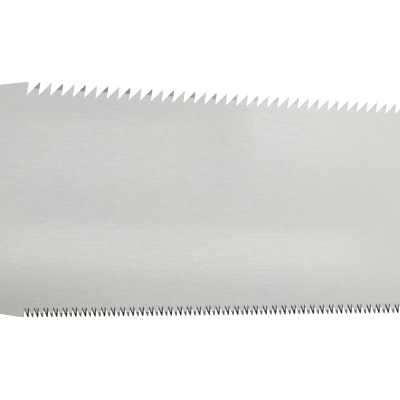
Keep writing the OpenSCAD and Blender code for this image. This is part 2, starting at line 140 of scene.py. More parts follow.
# Steps of the cane are counted along the strip, and its scars are placed in metres along it.
# CANE_SCAR_MM has the strength and half width of a scar's dark line and of its faint halo
CANE_SEED = 7
CANE_X_MM = 69.5
CANE_TURNS = 24
CANE_PITCH_MM = 7.2
CANE_WIDTH_MM = 6.5
CANE_THICK_MM = 1.4
CANE_SUNK_MM = 0.05
CANE_STEPS = 96
CANE_START = 0.25
CANE_END_STEPS = 3
CANE_END_THINNER = 0.25
CANE_SETTLE_STEPS = 200
CANE_THINNER = 0.03
CANE_SHIFT_MM = 0.1
CANE_LEAN = 0.05
CANE_SCAR_FIRST = (0.05, 0.15)
CANE_SCAR_LEAN = (-0.6, 0.6)
CANE_SCAR_APART = (0.19, 0.29)
CANE_SCAR_MM = ((1.0, 0.55), (0.35, 2.6))


# ---------------------------------------------------------------- node trees
def add(tree, kind, **settings):
    """A new node with these settings."""
    made = tree.nodes.new(kind)
    for name, value in settings.items():
        setattr(made, name, value)
    return made


def feed(tree, socket, value):
    """Links a socket to an output, or sets it to a plain value."""
    if isinstance(value, bpy.types.NodeSocket):
        tree.links.new(value, socket)
    else:
        socket.default_value = value


def feed_all(tree, sockets, values):
    """Feeds the first sockets in their order."""
    for socket, value in zip(sockets, values):
        feed(tree, socket, value)


def calc(tree, operation, *values):
    """Arithmetic on one to three numbers."""
    made = add(tree, "ShaderNodeMath", operation=operation)
    feed_all(tree, made.inputs, values)
    return made.outputs[0]


def distance(tree, a, b):
    """The length of a vector with these two parts."""
    squares = calc(tree, "ADD", calc(tree, "MULTIPLY", a, a), calc(tree, "MULTIPLY", b, b))
    return calc(tree, "SQRT", squares)


def ramp(tree, value, start, end, low=0.0, high=1.0):
    """Runs smoothly from low to high while value goes from start to end."""
    made = add(tree, "ShaderNodeMapRange", interpolation_type="SMOOTHSTEP")
    feed_all(tree, made.inputs, (value, start, end, low, high))
    return made.outputs["Result"]


def zone(tree, value, rise, fall):
    """One between the two runs, smoothly down to nothing outside them."""
    return calc(tree, "MULTIPLY", ramp(tree, value, *rise), ramp(tree, value, *fall))


def blend(tree, share, first, second, how="MIX"):
    """Mixes two colours."""
    made = add(tree, "ShaderNodeMix", data_type="RGBA", blend_type=how)
    feed(tree, made.inputs[0], share)
    feed(tree, made.inputs[6], first)
    feed(tree, made.inputs[7], second)
    return made.outputs[2]


def mottled(tree, pattern, dark, bright, start=0.3, end=0.7):
    """Goes from the dark to the bright colour with a pattern."""
    return blend(tree, ramp(tree, pattern, start, end), dark, bright)


def coated(tree, tone, mask, share, color):
    """The tone under a share of another colour, where the mask is."""
    return blend(tree, calc(tree, "MULTIPLY", mask, share), tone, color)


def vector_math(tree, operation, vector, other, socket=1):
    """Arithmetic on a vector."""
    made = add(tree, "ShaderNodeVectorMath", operation=operation)
    feed(tree, made.inputs[0], vector)
    feed(tree, made.inputs[socket], other)
    return made.outputs


def brighter(tree, color, gain):
    """A colour multiplied by one number."""
    return vector_math(tree, "SCALE", color, gain, "Scale")[0]


def scaled(tree, vector, scale):
    """Coordinates multiplied on each axis."""
    return vector_math(tree, "MULTIPLY", vector, scale)[0]


def shifted(tree, vector, by):
    """Coordinates moved by a vector."""
    return vector_math(tree, "ADD", vector, by)[0]


def noise(tree, vector, detail=2.0, roughness=0.5, scale=1.0, distortion=0.0):
    """Soft random clouds between nought and one."""
    made = add(tree, "ShaderNodeTexNoise")
    feed(tree, made.inputs["Vector"], vector)
    feed(tree, made.inputs["Scale"], scale)
    feed(tree, made.inputs["Detail"], detail)
    feed(tree, made.inputs["Roughness"], roughness)
    feed(tree, made.inputs["Distortion"], distortion)
    return made.outputs[0]


def split(tree, vector):
    """The three numbers of a vector."""
    made = add(tree, "ShaderNodeSeparateXYZ")
    feed(tree, made.inputs[0], vector)
    return made.outputs


def joined(tree, x, y, z):
    """A vector of three numbers."""
    made = add(tree, "ShaderNodeCombineXYZ")
    feed_all(tree, made.inputs, (x, y, z))
    return made.outputs[0]


def place_coords(tree):
    """Coordinates on the object, in metres."""
    return add(tree, "ShaderNodeTexCoord").outputs["Object"]


def facing(tree):
    """The surface's own direction, in the object's axes."""
    return add(tree, "ShaderNodeTexCoord").outputs["Normal"]


def mid_line(tree, z, start_mm, end_mm):
    """A line at mid plate's height, full within end_mm of it and gone beyond start_mm."""
    off = calc(tree, "ABSOLUTE", calc(tree, "SUBTRACT", z, MID_MM * MM))
    return ramp(tree, off, start_mm * MM, end_mm * MM)


def seen_straight(tree, path):
    """One for what the camera sees, directly or through glass."""
    return calc(tree, "MAXIMUM", path.outputs["Is Camera Ray"], path.outputs["Is Transmission Ray"])


def bump(tree, height, depth_mm):
    """Fine relief of this depth."""
    made = add(tree, "ShaderNodeBump")
    feed(tree, made.inputs["Strength"], 1.0)
    feed(tree, made.inputs["Distance"], depth_mm * MM)
    feed(tree, made.inputs["Height"], height)
    return made.outputs[0]


def new_material(name):
    """An empty material and its tree."""
    made = bpy.data.materials.new(name)
    made.use_nodes = True
    made.node_tree.nodes.clear()
    return made, made.node_tree


def principled(tree, **values):
    """The material's shader and its output."""
    shader = add(tree, "ShaderNodeBsdfPrincipled")
    output = add(tree, "ShaderNodeOutputMaterial")
    tree.links.new(shader.outputs[0], output.inputs["Surface"])
    for name, value in values.items():
        feed(tree, shader.inputs[name.replace("_", " ")], value)


# ---------------------------------------------------------------- effects shared by the materials
def new_effect(name, inputs, outputs):
    """An empty node group. inputs maps a name to its starting value, outputs lists names."""
    group = bpy.data.node_groups.new(name, "ShaderNodeTree")
    interface = group.interface
    for label, value in inputs.items():
        kind = "NodeSocketVector" if isinstance(value, tuple) else "NodeSocketFloat"
        interface.new_socket(name=label, in_out="INPUT", socket_type=kind).default_value = value
    for label in outputs:
        interface.new_socket(name=label, in_out="OUTPUT", socket_type="NodeSocketFloat")
    return group, add(group, "NodeGroupInput").outputs, add(group, "NodeGroupOutput").inputs


def effect(tree, name, **values):
    """Places a shared effect in a material."""
    made = add(tree, "ShaderNodeGroup", node_tree=bpy.data.node_groups[name])
    for label, value in values.items():
        feed(tree, made.inputs[label], value)
    return made.outputs


def make_brushed_lines():
    """Long fine lines, sparse scratches along them and a slow drift of tone."""
    inputs = {"Place": (0.0, 0.0, 0.0), "Stretch": (100.0, 1000.0, 1000.0), "Wander": 20.0}
    group, given, out = new_effect("brushed_lines", inputs, ("Lines", "Scratches", "Drift"))
    stretch = scaled(group, given["Place"], given["Stretch"])
    feed(group, out["Lines"], noise(group, stretch, detail=3.0, roughness=0.6))
    longer = shifted(group, scaled(group, stretch, (0.35, 1.0, 1.0)), (7.0, 3.0, 5.0))
    feed(group, out["Scratches"], ramp(group, noise(group, longer, detail=1.0), 0.68, 0.76))
    feed(group, out["Drift"], noise(group, given["Place"], scale=given["Wander"]))


def make_edge_wear_and_light():
    """A patchy mask along sharp edges, for wear, for painted highlights on edges and for painted
    shade lines.
    """
    inputs = {"Place": (0.0, 0.0, 0.0), "Width": 0.0005}
    group, given, out = new_effect("edge_wear_and_light", inputs, ("Mask",))
    rounded = add(group, "ShaderNodeBevel", samples=6)
    feed(group, rounded.inputs["Radius"], given["Width"])
    true_normal = add(group, "ShaderNodeNewGeometry").outputs["Normal"]
    lean = vector_math(group, "DOT_PRODUCT", rounded.outputs[0], true_normal)["Value"]
    patchy = ramp(group, noise(group, given["Place"], detail=3.0, scale=380.0), 0.35, 0.6)
    feed(group, out["Mask"], calc(group, "MULTIPLY", ramp(group, lean, 0.985, 0.9), patchy))


def make_smudges():
    """Cloudy patches, as hands and time leave them."""
    group, given, out = new_effect("smudges", {"Place": (0.0, 0.0, 0.0), "Size": 60.0}, ("Mask",))
    look = {"detail": 4.0, "roughness": 0.6, "distortion": 0.6}
    cloudy = noise(group, given["Place"], scale=given["Size"], **look)
    feed(group, out["Mask"], ramp(group, cloudy, 0.38, 0.66))


def make_fine_grit():
    """A grainy height and rare pale specks."""
    inputs = {"Place": (0.0, 0.0, 0.0), "Size": 2500.0}
    group, given, out = new_effect("fine_grit", inputs, ("Height", "Specks"))
    grains = noise(group, given["Place"], detail=2.0, roughness=0.7, scale=given["Size"])
    feed(group, out["Height"], grains)
    elsewhere = shifted(group, given["Place"], (0.3, 0.1, 0.2))
    rare = noise(group, elsewhere, detail=1.0, scale=given["Size"])
    feed(group, out["Specks"], ramp(group, rare, 0.7, 0.8))


# ---------------------------------------------------------------- stage
def new_object(name, data):
    """An object in the scene."""
    made = bpy.data.objects.new(name, data)
    bpy.context.scene.collection.objects.link(made)
    return made


def make_camera():
    """Looks down on the toe half of the blade, as in the photograph."""
    data = bpy.data.cameras.new("camera")
    data.sensor_width = SENSOR
    data.lens = SENSOR * VIEW_DISTANCE / VIEW_WIDTH
    data.clip_start = 0.01
    data.clip_end = 100
    camera = new_object("camera", data)
    turn = Matrix.Rotation(-VIEW_TILT, 4, "Y") @ Matrix.Rotation(VIEW_ROLL, 4, "Z")
    back = Matrix.Translation((0, 0, VIEW_DISTANCE))
    camera.matrix_world = Matrix.Translation(VIEW_TARGET) @ turn @ back
    bpy.context.scene.camera = camera


def make_world():
    """A pale tent: its top is a soft light with a dark gap beside it, on the rip teeth's side."""
    world = bpy.data.worlds.new("tent")
    world.use_nodes = True
    world.cycles.sampling_method = "NONE"
    bpy.context.scene.world = world
    tree = world.node_tree
    tree.nodes.clear()
    x, y, z = split(tree, add(tree, "ShaderNodeTexCoord").outputs["Generated"])
    height = calc(tree, "MAXIMUM", z, TENT_LOWEST)
    along = calc(tree, "DIVIDE", x, height)
    across = calc(tree, "DIVIDE", y, height)

    top_and_foot = ramp(tree, z, *TENT_FOOT, ramp(tree, z, *TENT_TOP))
    uneven = ramp(tree, along, *TENT_ALONG), ramp(tree, across, *TENT_ACROSS)
    tent = calc(tree, "MULTIPLY", top_and_foot, calc(tree, "MULTIPLY", *uneven))

    past_turn = calc(tree, "MAXIMUM", calc(tree, "SUBTRACT", along, GAP_TURN), 0.0)
    gap_edge = calc(tree, "MULTIPLY_ADD", past_turn, GAP_SLOPE, GAP_START)
    into_gap = ramp(tree, calc(tree, "SUBTRACT", across, gap_edge), 0.0, GAP_SOFT)
    gap = calc(tree, "MULTIPLY", into_gap, ramp(tree, across, *GAP_END))
    dimmed = calc(tree, "MULTIPLY", gap, calc(tree, "SUBTRACT", GAP_LEVEL, tent))
    mirrored = calc(tree, "ADD", tent, dimmed)

    path = add(tree, "ShaderNodeLightPath")
    level = blend(tree, path.outputs["Is Glossy Ray"], (FILL_LEVEL,) * 3 + (1,), mirrored)
    background = add(tree, "ShaderNodeBackground")
    feed(tree, background.inputs["Color"], blend(tree, seen_straight(tree, path), level, WHITE))
    output = add(tree, "ShaderNodeOutputWorld")
    tree.links.new(background.outputs[0], output.inputs[0])


def make_key_light():
    """A large soft lamp from the crosscut side, for the shade on the handle."""
    data = bpy.data.lights.new("key", "AREA")
    data.shape = "DISK"
    data.size = KEY_SIZE
    data.energy = KEY_POWER
    lamp = new_object("key", data)
    lamp.location = KEY_PLACE
    lamp.rotation_mode = "QUATERNION"
    lamp.rotation_quaternion = (-lamp.location).to_track_quat("-Z", "Y")
    lamp.visible_camera = False
    lamp.visible_glossy = False


def make_floor():
    """Pale floor that keeps the shadow; it glows for what sees it straight or mirrored."""
    mesh = bpy.data.meshes.new("floor")
    corners = [(x * FLOOR_HALF, y * FLOOR_HALF, 0) for x, y in ((-1, -1), (1, -1), (1, 1), (-1, 1))]
    mesh.from_pydata(corners, [], [(0, 1, 2, 3)])
    floor = new_object("floor", mesh)
    material, tree = new_material("floor_white")
    material.cycles.emission_sampling = "NONE"
    path = add(tree, "ShaderNodeLightPath")
    mirrored = calc(tree, "MULTIPLY", path.outputs["Is Glossy Ray"], FLOOR_MIRRORED)
    glow = calc(tree, "MULTIPLY_ADD", seen_straight(tree, path), FLOOR_WHITE, mirrored)
    dust = noise(tree, place_coords(tree), detail=3.0, scale=60.0)
    tone = blend(tree, ramp(tree, dust, 0.3, 0.7, 0.0, 0.04), FLOOR_PALE, FLOOR_DUSTY)
    principled(tree, Base_Color=tone, Roughness=0.9, Emission_Color=WHITE, Emission_Strength=glow)
    mesh.materials.append(material)


# ---------------------------------------------------------------- materials
def plate_painted_sheen(tree, x, y, rip_tip_shade):
    """The plate's brightness: broad bands of painted sheen and painted shade, set by place on the
    plate.

    A band is its gain and two masks, which mostly run across and along the blade."""
    bands = (
        (
            0.08,
            zone(tree, y, (-0.005, -0.013), (-0.031, -0.018)),
            zone(tree, x, (-0.34, -0.3), (-0.17, -0.2)),
        ),
        (
            0.05,
            zone(tree, y, (0.0, 0.014), (0.034, 0.026)),
            zone(tree, x, (-0.335, -0.3), (-0.235, -0.262)),
        ),
        (
            0.09,
            zone(tree, y, (0.0, 0.03), (0.06, 0.05)),
            zone(tree, x, (-0.238, -0.222), (-0.175, -0.205)),
        ),
        (0.04, zone(tree, y, (0.0, 0.03), (0.06, 0.05)), ramp(tree, x, -0.205, -0.175)),
        # painted shade, darker towards the crosscut edge at the toe
        (-0.265, ramp(tree, y, -0.018, -0.042), ramp(tree, x, -0.262, -0.33, 0.4, 0.95)),
        # painted shade on the set rip tips, over part of the row
        (-0.24, rip_tip_shade, zone(tree, x, (-0.305, -0.285), (-0.232, -0.238))),
    )
    sheen_gain = 1.0
    for gain, one, other in bands:
        band = calc(tree, "MULTIPLY", one, other)
        sheen_gain = calc(tree, "MULTIPLY_ADD", band, gain, sheen_gain)
    return sheen_gain


def plate_material():
    """Satin steel with lines along the blade and painted sheen and shade; the set tips and the
    filed bevels are darker with painted shade.
    """
    material, tree = new_material("plate_steel")
    place = place_coords(tree)
    x, y, _ = split(tree, place)
    _, ny, nz = split(tree, facing(tree))
    fine = effect(tree, "brushed_lines", Place=place, Stretch=(420.0, 1500.0, 300.0))["Lines"]
    coarse = effect(tree, "brushed_lines", Place=place, Stretch=(120.0, 900.0, 300.0))["Lines"]
    brushed = calc(tree, "MULTIPLY_ADD", coarse, 0.4, calc(tree, "MULTIPLY", fine, 0.6))
    drift = noise(tree, scaled(tree, place, (14.0, 30.0, 10.0)), detail=2.0)
    dark, bright = (0.652, 0.652, 0.638, 1), (0.732, 0.732, 0.72, 1)
    tone = mottled(tree, brushed, dark, bright, 0.32, 0.68)
    tone = blend(tree, ramp(tree, drift, 0.3, 0.7, 0.0, 0.35), tone, (0.7, 0.705, 0.668, 1))
    tone = blend(tree, ramp(tree, x, -0.215, -0.19, 0.0, 0.4), tone, (0.69, 0.697, 0.64, 1))
    warm = calc(tree, "MULTIPLY", ramp(tree, y, -0.018, -0.034), ramp(tree, x, -0.24, -0.28))
    tone = blend(tree, warm, tone, (1.0, 1.0, 0.977, 1), "MULTIPLY")

    # Only set tips lean. The rip tips that bend down lean to the rip side, and part of that row
    # gets painted shade
    to_rip, to_crosscut = ramp(tree, ny, 0.05, 0.1), ramp(tree, ny, -0.05, -0.1)
    rip_tip_shade = calc(tree, "MULTIPLY", ramp(tree, y, 0.03, 0.034), to_rip)
    tone = brighter(tree, tone, plate_painted_sheen(tree, x, y, rip_tip_shade))
    # The crosscut tips get painted shade by their lean: grey where they bend up and black where
    # they bend down
    crosscut = ramp(tree, y, -0.029, -0.031)
    for leaning, share, shade in ((to_rip, 0.9, 0.13), (to_crosscut, 0.85, 0.02)):
        tips = calc(tree, "MULTIPLY", leaning, calc(tree, "MULTIPLY", crosscut, share))
        tone = blend(tree, tips, tone, (shade, shade, shade * 0.97, 1))
    # A line of painted shade stands round their bevels, and every filed bevel is painted nearly
    # black as shade
    bevel_shade_line = effect(tree, "edge_wear_and_light", Place=place, Width=0.2 * MM)["Mask"]
    tone = coated(tree, tone, bevel_shade_line, crosscut, (0.03, 0.03, 0.03, 1))
    upright = calc(tree, "ABSOLUTE", nz)
    filed = zone(tree, upright, (0.35, 0.45), (0.975, 0.93))
    tone = blend(tree, filed, tone, (0.012, 0.012, 0.013, 1))
    # The plate's upright edges are painted grey as shade
    tone = blend(tree, ramp(tree, upright, 0.35, 0.2), tone, (0.3, 0.3, 0.295, 1))
    principled(
        tree,
        Base_Color=tone,
        Metallic=1.0,
        Roughness=ramp(tree, brushed, 0.2, 0.8, 0.2, 0.27),
        Normal=bump(tree, brushed, 0.003),
    )
    return material


def clamp_material():
    """Nickel-plated cheeks, brushed along the saw, with rubbed edges brightened partly as wear and
    partly as a painted highlight.
    """
    material, tree = new_material("clamp_plate")
    place = place_coords(tree)
    brushed = effect(tree, "brushed_lines", Place=place, Stretch=(90.0, 2600.0, 2600.0))
    worn = effect(tree, "edge_wear_and_light", Place=place, Width=0.4 * MM)["Mask"]
    dull = effect(tree, "smudges", Place=place, Size=70.0)["Mask"]
    tone = mottled(tree, brushed["Lines"], (0.5, 0.5, 0.5, 1), (0.62, 0.62, 0.61, 1))
    tone = coated(tree, tone, dull, 0.3, (0.44, 0.43, 0.41, 1))
    # Bright edges: partly wear, partly a painted highlight
    tone = coated(tree, tone, worn, 0.7, (0.8, 0.79, 0.77, 1))
    lines_rough = ramp(tree, brushed["Lines"], 0.2, 0.8, 0.24, 0.36)
    height = calc(tree, "SUBTRACT", brushed["Lines"], brushed["Scratches"])
    principled(
        tree,
        Base_Color=tone,
        Metallic=1.0,
        Roughness=calc(tree, "MULTIPLY_ADD", dull, 0.1, lines_rough),
        Normal=bump(tree, height, 0.006),
    )
    return material


def turned_material(name, axis_x_mm, dark, bright, roughness, worn_lit_edge_mm):
    """Steel or brass turned on a lathe: rings round an upright axis, dull patches, and bright edges
    that are partly wear and partly a painted highlight.
    """
    material, tree = new_material(name)
    place = place_coords(tree)
    x, y, z = split(tree, shifted(tree, place, (-axis_x_mm * MM, 0.0, 0.0)))
    rings = joined(tree, calc(tree, "ARCTAN2", y, x), distance(tree, x, y), z)
    turned = effect(tree, "brushed_lines", Place=rings, Stretch=(1.2, 5200.0, 5200.0))["Lines"]
    worn = effect(tree, "edge_wear_and_light", Place=place, Width=worn_lit_edge_mm * MM)["Mask"]
    dull = effect(tree, "smudges", Place=place, Size=160.0)["Mask"]
    tone = mottled(tree, turned, dark, bright)
    tone = coated(tree, tone, dull, 0.35, tuple(c * 0.6 for c in dark[:3]) + (1,))
    # Bright edges: partly wear, partly a painted highlight
    tone = coated(tree, tone, worn, 0.6, (0.85, 0.84, 0.82, 1))
    rings_rough = ramp(tree, turned, 0.2, 0.8, roughness, roughness + 0.08)
    principled(
        tree,
        Base_Color=tone,
        Metallic=1.0,
        Roughness=calc(tree, "MULTIPLY_ADD", dull, 0.14, rings_rough),
        Normal=bump(tree, turned, 0.006),
    )
    return material


def ferrule_material():
    """Black lacquer on steel with a little orange peel, rubbed to bare metal at the rims."""
    material, tree = new_material("ferrule_lacquer")
    place = place_coords(tree)
    peel = effect(tree, "fine_grit", Place=place, Size=900.0)["Height"]
    worn = effect(tree, "edge_wear_and_light", Place=place, Width=0.5 * MM)["Mask"]
    dull = effect(tree, "smudges", Place=place, Size=90.0)["Mask"]
    stretch = (900.0, 220.0, 220.0)
    lines = effect(tree, "brushed_lines", Place=place, Stretch=stretch, Wander=60.0)
    tone = mottled(tree, lines["Drift"], (0.014, 0.014, 0.015, 1), (0.028, 0.027, 0.026, 1))
    tone = coated(tree, tone, lines["Scratches"], 0.5, (0.09, 0.088, 0.085, 1))
    tone = coated(tree, tone, worn, 0.8, (0.5, 0.49, 0.47, 1))
    principled(
        tree,
        Base_Color=tone,
        Metallic=calc(tree, "MULTIPLY", worn, 0.8),
        Roughness=calc(tree, "MULTIPLY_ADD", dull, 0.18, 0.27),
        Coat_Weight=0.25,
        Coat_Roughness=0.12,
        Normal=bump(tree, peel, 0.012),
    )
    return material


def wood_material():
    """Pale straight-grained wood: year rings, long fibres, pores and a patina from the hand."""
    material, tree = new_material("handle_wood")
    place = place_coords(tree)
    x, y, z = split(tree, place)
    # The two halves come from different places in the plank
    below = calc(tree, "LESS_THAN", z, MID_MM * MM)
    plank = joined(tree, calc(tree, "MULTIPLY_ADD", below, 0.43, x), y, z)
    wander = noise(tree, scaled(tree, plank, (9.0, 26.0, 26.0)), detail=2.0)
    plank_x, plank_y, plank_z = split(tree, plank)
    up = calc(tree, "MULTIPLY_ADD", wander, 0.016, calc(tree, "ADD", plank_z, 0.012))
    side = calc(tree, "MULTIPLY_ADD", plank_x, 0.035, calc(tree, "ADD", plank_y, 0.004))
    year = calc(tree, "FRACT", calc(tree, "MULTIPLY", distance(tree, up, side), 900.0))
    late = zone(tree, year, (0.35, 0.88), (1.0, 0.93))
    fibres = noise(tree, scaled(tree, plank, (34.0, 1500.0, 1500.0)), detail=3.0, roughness=0.6)
    dots = noise(tree, scaled(tree, plank, (190.0, 3600.0, 3600.0)), detail=1.0)
    pores = ramp(tree, dots, 0.64, 0.72)
    handled = effect(tree, "smudges", Place=place, Size=45.0)["Mask"]
    tone = mottled(tree, wander, (0.63, 0.46, 0.275, 1), (0.72, 0.56, 0.36, 1))
    tone = coated(tree, tone, late, 0.7, (0.45, 0.265, 0.12, 1))
    tone = blend(tree, ramp(tree, fibres, 0.35, 0.7, 0.0, 0.3), tone, (0.5, 0.33, 0.175, 1))
    tone = coated(tree, tone, pores, 0.45, (0.25, 0.13, 0.055, 1))
    tone = coated(tree, tone, handled, ramp(tree, x, 0.3, 0.25, 0.12, 0.4), (0.42, 0.25, 0.12, 1))
    tone = coated(tree, tone, mid_line(tree, z, 0.16, 0.05), 0.8, (0.09, 0.045, 0.02, 1))
    fibres_rough = ramp(tree, fibres, 0.3, 0.7, 0.46, 0.6)
    height = calc(tree, "SUBTRACT", calc(tree, "MULTIPLY_ADD", late, 0.5, fibres), pores)
    principled(
        tree,
        Base_Color=tone,
        Roughness=calc(tree, "MULTIPLY_ADD", handled, -0.1, fibres_rough),
        Coat_Weight=0.08,
        Coat_Roughness=0.3,
        Normal=bump(tree, height, 0.03),
    )
    return material


def cane_material():
    """Split cane: glossy golden rind with fibres along the strip, scars, and dust in the gaps."""
    material, tree = new_material("cane_rind")
    place = place_coords(tree)
    run = add(tree, "ShaderNodeAttribute", attribute_name="cane_run").outputs["Vector"]
    scar = add(tree, "ShaderNodeAttribute", attribute_name="cane_scar").outputs["Fac"]
    _, _, height = split(tree, run)
    fibres = noise(tree, scaled(tree, run, (38.0, 2600.0, 900.0)), detail=3.0, roughness=0.65)
    streaks = noise(tree, scaled(tree, run, (7.0, 420.0, 0.0)), detail=2.0)
    patches = noise(tree, scaled(tree, run, (11.0, 60.0, 0.0)), detail=2.0)
    edge = ramp(tree, height, 0.75 * MM, 0.35 * MM)
    dust = effect(tree, "fine_grit", Place=place, Size=1200.0)["Height"]
    dusty = mottled(tree, dust, (0.3, 0.18, 0.08, 1), (0.5, 0.36, 0.2, 1), 0.4, 0.65)
    handled = effect(tree, "smudges", Place=place, Size=38.0)["Mask"]
    tone = mottled(tree, patches, (0.5, 0.27, 0.075, 1), (0.66, 0.41, 0.14, 1))
    tone = blend(tree, ramp(tree, streaks, 0.45, 0.75, 0.0, 0.5), tone, (0.43, 0.215, 0.06, 1))
    tone = blend(tree, ramp(tree, fibres, 0.4, 0.75, 0.0, 0.45), tone, (0.34, 0.17, 0.055, 1))
    tone = coated(tree, tone, scar, 0.75, (0.2, 0.1, 0.04, 1))
    tone = coated(tree, tone, edge, 0.8, dusty)
    tone = coated(tree, tone, handled, 0.28, (0.36, 0.19, 0.075, 1))
    fibres_rough = ramp(tree, fibres, 0.3, 0.7, 0.27, 0.42)
    principled(
        tree,
        Base_Color=tone,
        Roughness=calc(tree, "MULTIPLY_ADD", edge, 0.25, fibres_rough),
        Coat_Weight=0.3,
        Coat_Roughness=0.16,
        Normal=bump(tree, fibres, 0.035),
    )
    return material


def cap_material():
    """Moulded black cap: matt grain, a faint parting line and paler rubbed corners."""
    material, tree = new_material("cap_moulded")
    place = place_coords(tree)
    _, _, z = split(tree, place)
    grit = effect(tree, "fine_grit", Place=place, Size=2200.0)
    rubbed = effect(tree, "smudges", Place=place, Size=75.0)["Mask"]
    worn = effect(tree, "edge_wear_and_light", Place=place, Width=0.7 * MM)["Mask"]
    tone = mottled(tree, grit["Height"], (0.014, 0.014, 0.015, 1), (0.032, 0.031, 0.03, 1))
    tone = coated(tree, tone, rubbed, 0.35, (0.075, 0.072, 0.068, 1))
    tone = coated(tree, tone, grit["Specks"], 0.5, (0.12, 0.118, 0.112, 1))
    tone = coated(tree, tone, worn, 0.5, (0.14, 0.135, 0.13, 1))
    grain_rough = ramp(tree, grit["Height"], 0.3, 0.7, 0.5, 0.62)
    height = calc(tree, "MULTIPLY_ADD", mid_line(tree, z, 0.22, 0.08), 2.0, grit["Height"])
    principled(
        tree,
        Base_Color=tone,
        Roughness=calc(tree, "MULTIPLY_ADD", rubbed, -0.12, grain_rough),
        Specular_IOR_Level=0.35,
        Normal=bump(tree, height, 0.035),
    )
    return material


def make_finishes():
    """One material for each of the record's slots."""
    # Name, place of the axis, dark and bright tone, roughness, width of the bright edges (wear and
    # painted highlight)
    pin = ("pin_steel", 38.0, (0.2, 0.2, 0.205, 1), (0.34, 0.335, 0.33, 1), 0.3, 0.25)
    screw = ("screw_steel", 22.0, (0.56, 0.56, 0.57, 1), (0.74, 0.74, 0.74, 1), 0.14, 0.3)
    brass = ("eyelet_brass", HANG_X_MM, (0.5, 0.32, 0.1, 1), (0.74, 0.53, 0.22, 1), 0.2, 0.3)
    return {
        "blade_steel": plate_material(),
        "clamp_steel": clamp_material(),
        "pin_steel": turned_material(*pin),
        "screw_steel": turned_material(*screw),
        "ferrule_black": ferrule_material(),
        "handle_wood": wood_material(),
        "cane": cane_material(),
        "cap_black": cap_material(),
        "eyelet_brass": turned_material(*brass),
    }


# ---------------------------------------------------------------- meshes
def solid(name, points, faces):
    """A mesh from points in millimetres, with every face turned to the outside."""
    mesh = bpy.data.meshes.new(name)
    mesh.from_pydata([(x * MM, y * MM, (z + MID_MM) * MM) for x, y, z in points], [], faces)
    work = bmesh.new()
    work.from_mesh(mesh)
    bmesh.ops.recalc_face_normals(work, faces=work.faces)
    work.to_mesh(mesh)
    work.free()
    return mesh


def skin(name, rings):
    """A closed mesh through rings with equal numbers of points."""
    count = len(rings[0])
    last = (len(rings) - 1) * count
    faces = [
        (a, b, b + count, a + count)
        for r in range(len(rings) - 1)
        for a, b in ((r * count + i, r * count + (i + 1) % count) for i in range(count))
    ]
    faces += [tuple(range(count)), tuple(range(last, last + count))]
    return solid(name, [p for ring in rings for p in ring], faces)


def lathe(name, outline, axis_x, sides=72):
    """A ring turned round an upright axis from a closed outline of (radius, height)."""
    points, faces, count = [], [], len(outline)
    for i in range(sides):
        turn = 2 * math.pi * i / sides
        points += [(axis_x + r * math.cos(turn), r * math.sin(turn), z) for r, z in outline]
        ahead = (i + 1) % sides * count
        for k in range(count):
            beside = (k + 1) % count
            faces.append((i * count + k, i * count + beside, ahead + beside, ahead + k))
    return solid(name, points, faces)


def oval(x, half_w, half_t, sides=96):
    """An oval ring across the handle at x."""
    turns = [2 * math.pi * i / sides for i in range(sides)]
    return [(x, half_w * math.cos(t), half_t * math.sin(t)) for t in turns]


def bar(name, start, end, radius, sides=72):
    """A round bar between two points."""
    turn = (Vector(end) - Vector(start)).to_track_quat("Z", "Y")
    ring = [
        turn @ Vector((radius * math.cos(t), radius * math.sin(t), 0))
        for t in (2 * math.pi * i / sides for i in range(sides))
    ]
    return skin(name, [[tuple(Vector(at) + p) for p in ring] for at in (start, end)])


def block(name, low, high):
    """A box between two corners, for pockets."""
    ring = [(low[1], low[2]), (high[1], low[2]), (high[1], high[2]), (low[1], high[2])]
    return skin(name, [[(x, y, z) for y, z in ring] for x in (low[0], high[0])])


def carved(mesh, cutters):
    """The mesh with holes and pockets cut out of it, and no slivers left by the cuts."""
    whole = new_object("whole", mesh)
    tools = [new_object("cutter", cutter) for cutter in cutters]
    for tool in tools:
        cut = whole.modifiers.new("cut", "BOOLEAN")
        cut.operation = "DIFFERENCE"
        cut.solver = "EXACT"
        cut.object = tool
    ready = whole.evaluated_get(bpy.context.evaluated_depsgraph_get())
    made = bpy.data.meshes.new_from_object(ready)
    made.name = mesh.name
    for done in (whole, *tools):
        bpy.data.objects.remove(done)
    clean = bmesh.new()
    clean.from_mesh(made)
    bmesh.ops.remove_doubles(clean, verts=clean.verts, dist=WELD_MM * MM)
    bmesh.ops.dissolve_degenerate(clean, edges=clean.edges, dist=WELD_MM * MM)
    clean.to_mesh(made)
    clean.free()
    return made


def piece(name, mesh, slot, finishes, stands_for=(), sharp=35.0):
    """A finished piece that rides on the handle."""
    mesh.materials.clear()
    mesh.materials.append(finishes[slot])
    mesh.shade_smooth()
    mesh.set_sharp_from_angle(angle=math.radians(sharp))
    made = new_object(name, mesh)
    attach(made, "handle")
    if stands_for:
        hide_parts(*stands_for)


# ---------------------------------------------------------------- handle
def core_profile():
    """Half width and half thickness of the wood along the handle, with eased shoulders."""
    mouth, rear = FERRULE_X_MM
    low, high = SEAT_X_MM
    before, after = low - SHOULDER_MM, high + SHOULDER_MM
    profile = [
        (mouth + FERRULE_WALL_MM, -FERRULE_WALL_MM),
        (rear, -FERRULE_WALL_MM),
        (rear + 0.1, -0.25),
        (rear + 0.35, 0.0),
        (before - 0.35, 0.0),
        (before - 0.08, -0.06),
        (before + 0.08, -0.26),
    ]
    profile += [(x, -SEAT_DEPTH_MM) for x in (low, 110.0, 155.0, 200.0, high)]
    profile += [(after - 0.08, -0.26), (after + 0.1, -0.06)]
    rings = [(x, GRIP_MM[0] + d, GRIP_MM[1] + d) for x, d in profile]
    start, steps = after + 0.4, 36
    for i in range(steps + 1):
        swell = (1 - math.cos(math.pi * i / steps)) / 2
        half_w, half_t = (grip + (butt - grip) * swell for grip, butt in zip(GRIP_MM, BUTT_MM))
        rings.append((start + (BUTT_X_MM - start) * i / steps, half_w, half_t))
    return rings


